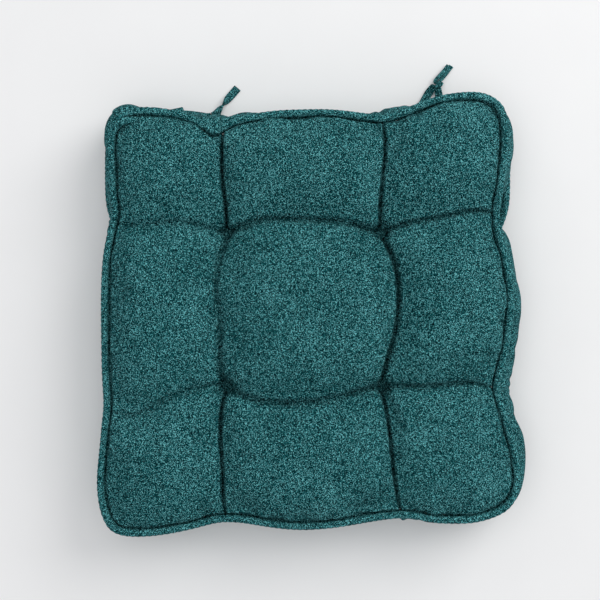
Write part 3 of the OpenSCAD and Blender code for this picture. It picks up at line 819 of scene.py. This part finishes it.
moved = inflate(points, closed, hold)
shift = moved - points
far = np.linalg.norm(shift, axis=1)[:, None]
points = points + shift * np.minimum(1, CAP / np.maximum(far, 1e-9))
over = (points[:grid_n, 2] - HIGH).clip(0, None)
points[:grid_n, 2] += over / (1 + over / (CEILING - HIGH)) - over
top_grid = points[:grid_n].reshape(N + 1, N + 1, 3)
boxing_rows = np.concatenate([[rim], points[grid_n:-1].reshape(BOX_ROWS, RIM_N, 3)])

# ---- the pull of the stitches on the filled cover ------------------------------------------------

WALL = 12 * MM  # height of a crease's sides, which are higher near the tufts
FLANK = 0.45  # slope of a pillow above that
PIT = 34 * MM  # height of the sides of a tuft's pit


def valley(line, depth, width):
    """Draws top_grid down to a line, whose sides rise steeply and then ease into the pillows."""
    inner = top_grid[1:-1, 1:-1].reshape(-1, 3)
    gap, share = nearest(inner, line[:, :2])
    s = lengths(line, 2) / lengths(line, 2)[-1]
    low = np.interp(share, s, crease_z(line)) - depth * np.sqrt(4 * share * (1 - share))
    wall = WALL + 1.3 * (TOP_Z - low).clip(0, None)
    limit = low + wall * (1 - np.exp(-gap / width)) + FLANK * (gap - 2 * width).clip(0, None)
    blend = np.sqrt((inner[:, 2] - limit) ** 2 + (1.5 * MM) ** 2)
    inner[:, 2] = (inner[:, 2] + limit - blend) / 2
    top_grid[1:-1, 1:-1] = inner.reshape(N - 1, N - 1, 3)


# Depth below the crease's height and width of the sides, in mm
for line, depth, width in (
        (columns[0][0], 3, 3), (columns[0][1], 1, 6), (columns[0][2], 4, 3),
        (columns[1][0], 4, 3), (columns[1][1], 5, 3.5), (columns[1][2], 3, 3),
        (rows[0][0], -3, 9), (rows[0][1], 2, 5), (rows[0][2], 1, 6),
        (rows[1][0], -3, 9), (rows[1][1], 2, 5), (rows[1][2], 1, 5.5)):
    valley(line, depth * MM, width * MM)
# Each tuft's pit: how far its middle lies from the button's and where its sides start, in mm
for t, (dx, dy, start) in zip(top_tufts, ((0, 0, 7), (2, 0, 6.4), (0, 0.5, 5.2), (1, 1, 6.8))):
    gap = np.hypot(top_grid[..., 0] - t[0] - dx * MM, top_grid[..., 1] - t[1] - dy * MM)
    gap = (gap - start * MM).clip(0, None)
    pit = t[2] + PIT * (1 - np.exp(-gap / (2 * MM))) + 0.8 * gap
    top_grid[..., 2] = np.minimum(top_grid[..., 2], pit)
points[:grid_n] = top_grid.reshape(-1, 3)

# ---- top panel -----------------------------------------------------------------------------------

HEM = 2 * MM  # of a panel and of the boxing, sewn in under the piping
hem = rim + rim_out * HEM - (0, 0, 0.5 * MM)
hem_ring = grid_n + np.arange(RIM_N)  # where the hem's points come in a panel's list
top_panel = sheet("top_panel_cover", np.vstack([points[:grid_n], hem]),
                  grid_faces(index) + ring_faces(rim_index, hem_ring), cover_cloth)
smooth(top_panel)
mesh_points = get_points(top_panel.data)
for depth, width, fade, line in FOLDS:
    sink(mesh_points, np.array(line, float) * K, depth * MM, width * MM, fade)
# The stitched line at the bottom of each crease: its depth and width in mm
for depth, width, line in (
        (6.0, 1.1, columns[0][0]), (2.5, 2.0, columns[0][1]), (7.0, 1.1, columns[0][2]),
        (6.0, 1.1, columns[1][0]), (6.0, 1.4, columns[1][1]), (6.0, 1.1, columns[1][2]),
        (1.5, 2.2, rows[0][0]), (2.0, 2.0, rows[0][1]), (3.0, 1.6, rows[0][2]),
        (1.5, 2.2, rows[1][0]), (2.5, 2.0, rows[1][1]), (3.0, 1.6, rows[1][2])):
    sink(mesh_points, line[::2, :2], depth * MM, width * MM, "none")
sink(mesh_points, np.vstack([rim, rim[:1]])[::2, :2], 5 * MM, 1.2 * MM, "none", lips=0.0)
set_points(top_panel.data, mesh_points)
settle(top_panel, "cover_fabric", "top_panel")

# ---- boxing pieces -------------------------------------------------------------------------------

base_hem = base_rim + base_out * HEM - (0, 0, 0.7 * MM)
top_tuck = rim + rim_out * 1.6 * MM - (0, 0, 0.3 * MM)  # the boxing's upper edge, under the piping
for side, side_name in enumerate(["front", "right", "back", "left"]):
    ks = np.arange(side * N, (side + 1) * N + 1)
    grid = np.concatenate([top_tuck[None], boxing_rows[1:], base_hem[None]])[:, ks % RIM_N]
    down = lengths(grid[:, N // 2])
    uv = np.stack(np.meshgrid(ring_length[np.minimum(ks, RIM_N)], -down, indexing="xy"), -1)
    piece = surface("boxing_%s_cover" % side_name, grid, uv, cover_cloth, flip=True)
    smooth(piece)
    settle(piece, "cover_fabric", "boxing_" + side_name)

# ---- bottom panel --------------------------------------------------------------------------------

ROLL = 32 * MM  # the base rolls up to its seam over this width
base_curve = base_rim.reshape(12, PATCH, 3)
base_runs = [np.vstack([base_curve[r], base_curve[(r + 1) % 12, :1]]) for r in range(12)]


def straight(a, b):
    """A pillow's edge on the base, as a straight line of points."""
    return a + (b - a) * SHARES[:, None]


def flat_point(t):
    return np.array([t[0], t[1], 0.0])


marks = [flat_point(t) for t in base_tufts]
base_level = [base_runs[0:3],
              [straight(base_runs[11][0], marks[0]), straight(marks[0], marks[1]),
               straight(marks[1], base_runs[4][0])],
              [straight(base_runs[10][0], marks[2]), straight(marks[2], marks[3]),
               straight(marks[3], base_runs[5][0])],
              [r[::-1] for r in (base_runs[8], base_runs[7], base_runs[6])]]
base_upright = [[r[::-1] for r in (base_runs[11], base_runs[10], base_runs[9])],
                [straight(base_runs[1][0], marks[0]), straight(marks[0], marks[2]),
                 straight(marks[2], base_runs[8][0])],
                [straight(base_runs[2][0], marks[1]), straight(marks[1], marks[3]),
                 straight(marks[3], base_runs[7][0])],
                base_runs[3:6]]
base_grid = nine_patches(base_level, base_upright)
x, y = base_grid[..., 0], base_grid[..., 1]
to_edge, _ = nearest(base_grid.reshape(-1, 3), np.vstack([base_rim, base_rim[:1]])[:, :2])
to_edge = to_edge.reshape(N + 1, N + 1)
rolled = (1 - to_edge / ROLL).clip(0, 1)
base_z = PANEL_END * (1 - np.sqrt(1 - rolled**2))
for t in base_tufts:
    near = np.hypot(x - t[0], y - t[1])
    base_z += (t[3] - base_z) * np.exp(-(near / (15 * MM)) ** 4)
for place, lines, rise in ((x, xs, 3 * MM), (y, ys, 2 * MM)):
    for line in lines:
        base_z += rise * np.exp(-((place - line) / (4 * MM)) ** 2) * (1 - rolled)
base_grid[..., 2] = np.minimum(base_z, PANEL_END)
base_faces = [face[::-1] for face in grid_faces(index) + ring_faces(rim_index, hem_ring)]
bottom_panel = sheet("bottom_panel_cover", np.vstack([base_grid.reshape(-1, 3), base_hem]),
                     base_faces, cover_cloth)
smooth(bottom_panel, 0)
settle(bottom_panel, "cover_fabric", "bottom_panel")

# ---- piping --------------------------------------------------------------------------------------

PUCKER = 0.85 * MM  # of the sleeve's fine gathers
PIPING_SIDES = 14


def turns(sides):
    return np.arange(sides) / sides * 2 * np.pi


def tube(centre, side, swell, turn):
    """Rings of points round a line, with side as the level direction across it."""
    return (centre[:, None] + (swell * np.cos(turn))[..., None] * side[:, None]
            + (swell * np.sin(turn))[..., None] * np.array([0, 0, 1.0]))


def tube_uv(radius, sides, s):
    across = np.arange(sides + 1) / sides * 2 * np.pi * radius
    return np.stack(np.meshgrid(across, s, indexing="xy"), -1)


def piping(name, line, out, radius, sides, material, slot, nodes, ripple=0.0):
    """A corded piping along a closed line, its cloth cut on the bias and a little gathered."""
    closed = np.vstack([line, line[:1]])
    total = lengths(closed)[-1]
    count = round(total / (1.3 * MM))
    shares = np.arange(count) / count
    s = shares * total
    side = np.stack([np.interp(s, lengths(closed), c) for c in np.vstack([out, out[:1]]).T], 1)
    side /= np.linalg.norm(side, axis=1)[:, None]
    turn = turns(sides)
    uneven = 2.5 * np.sin(s[:, None] / (21 * MM))
    pucker = ripple * np.sin(s[:, None] / PUCKER + turn + uneven)
    swell = radius * (1 + pucker + 0.5 * ripple * np.sin(s[:, None] / (17 * MM) + 2 * turn))
    rings = tube(at_shares(closed, shares), side, swell, turn)
    uv = tube_uv(radius, sides, np.append(s, total))
    piece = surface(name, np.concatenate([rings, rings[:1]]), uv, material, wrap=True, flip=True)
    weld(piece)
    smooth(piece, 0)
    settle(piece, slot, *nodes)


def weld(obj):
    """Joins the points that lie in one place."""
    work = bmesh.new()
    work.from_mesh(obj.data)
    bmesh.ops.remove_doubles(work, verts=work.verts, dist=1e-6)
    work.to_mesh(obj.data)
    work.free()


SEAM_OUT = PIPING_R + 0.5 * MM  # from the seam to the piping's middle
for where, ring, out, z in (("top", rim, rim_out, TOP_Z), ("bottom", base_rim, base_out, BASE_Z)):
    line = ring + out * SEAM_OUT
    line[:, 2] = z
    line = ring_smooth(line, 3)
    piping(where + "_piping_cover", line, out, PIPING_R, PIPING_SIDES, piping_cloth_painted_highlight,
           "piping_fabric", [where + "_piping"], ripple=0.06)
    piping(where + "_piping_filler", line, out, PIPING_R - 0.9 * MM, 8, cotton, "filler_cord",
           [where + "_piping_cord"])

# Where the top piping's two ends meet, at the back left corner, one laps over inside the other
LAP = [(-187, 156, 63.4), (-187, 165, 64.6), (-184.5, 174.5, 66), (-178.5, 181.5, 66.4),
       (-170, 184.5, 65), (-162, 185.5, 61), (-156, 185, 55)]
lap_line = curve(np.array(LAP) * (K, K, MM))
along = np.gradient(lap_line, axis=0)
side = np.stack([along[:, 1], -along[:, 0], 0 * along[:, 0]], 1)
side /= np.linalg.norm(side, axis=1)[:, None]
lap_turn = turns(PIPING_SIDES)
swell = PIPING_R * (1.03 + 0.05 * np.sin(lengths(lap_line)[:, None] / PUCKER + lap_turn))
lap = surface("top_piping_lap_cover", tube(lap_line, side, swell, lap_turn),
              tube_uv(PIPING_R, PIPING_SIDES, lengths(lap_line)),
              piping_cloth_painted_highlight, wrap=True, flip=True, caps=True)
smooth(lap, 0)
settle(lap, "piping_fabric", "top_piping")

# ---- fill ----------------------------------------------------------------------------------------

FILL_IN = 7 * MM  # inside the boxing
FILL_UNDER = 9 * MM  # below the top panel, whose folds reach down
FILL_OVER = 2.2 * MM  # above the bottom panel
FILL_HEIGHT = 0.75  # of the boxing's, at the sides
base_index = np.full((N + 1, N + 1), -1)
base_index[tuple(rim_ji.T)] = rings[-1]
inside = base_index < 0
base_index[inside] = len(points) - 1 + np.arange(inside.sum())
fill_rows = points[grid_n:-1].reshape(BOX_ROWS, RIM_N, 3) - middle_out * FILL_IN
fill_rows[..., 2] = middle_z + (fill_rows[..., 2] - middle_z) * FILL_HEIGHT
fill_top = top_grid - (0, 0, FILL_UNDER)
fill_top[tuple(rim_ji.T)] -= middle_out * FILL_IN
fill_base = base_grid[inside] + (0, 0, FILL_OVER)
fill = make_object(
    "fibre_fill_body", np.vstack([fill_top.reshape(-1, 3), fill_rows.reshape(-1, 3), fill_base]),
    skin + [face[::-1] for face in grid_faces(base_index)], fibre)
smooth(fill, 0)
settle(fill, "fibre", "fibre_fill")

# ---- buttons -------------------------------------------------------------------------------------

# Share of the radius and of the height, from the rim's turned-in edge to the middle of the dome
BUTTON_PROFILE = [(0.02, 0.25), (0.7, 0.1), (0.9, 0.05), (0.98, 0.18), (1, 0.32), (0.985, 0.46),
                  (0.92, 0.62), (0.8, 0.77), (0.62, 0.89), (0.42, 0.96), (0.2, 0.99), (0.02, 1)]
BUTTON_SIDES = 40


def button(where, tuft, name):
    """A button's cloth cover, pulled into small pleats under its rim."""
    node = "%s_button_cover_%s" % (where, name)
    lo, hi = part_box(node)
    radius, height = (hi.x - lo.x) / 2, hi.z - lo.z
    turn = turns(BUTTON_SIDES)
    wide = np.append(turn, 2 * np.pi)
    phase = rng.uniform(0, 6.28, 3)
    points, uv = [], []
    for share, up in BUTTON_PROFILE:
        pleats = 0.02 * np.sin(9 * turn + phase[0]) * (up < 0.5)
        r = radius * share * (1 + pleats + 0.012 * np.sin(2 * turn + phase[1])) / 1.03
        z = (lo.z + height * up) if where == "top" else (hi.z - height * up)
        ring = [tuft[0] + r * np.cos(turn), tuft[1] + r * np.sin(turn), 0 * r + z]
        points.append(np.stack(ring, 1))
        spread = radius * (share if up > 0.3 else 2 - share)
        uv.append(np.stack([tuft[0] + spread * np.cos(wide), tuft[1] + spread * np.sin(wide)], 1))
    piece = surface("%s_button_%s_cover" % (where, name), np.array(points), np.array(uv),
                    button_cloth_painted_shade, wrap=True, flip=where == "bottom", caps=True)
    smooth(piece)
    settle(piece, "cover_fabric", node)


for where, tufts in (("top", top_tufts), ("bottom", base_tufts)):
    for tuft, name in zip(tufts, TUFTS):
        button(where, tuft, name)

# The button cores and the twines stay as they are in the CAD
for name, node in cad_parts.items():
    if not node.hide_render:
        node.data.materials.clear()
        node.data.materials.append(cotton if "twine" in name else moulded)
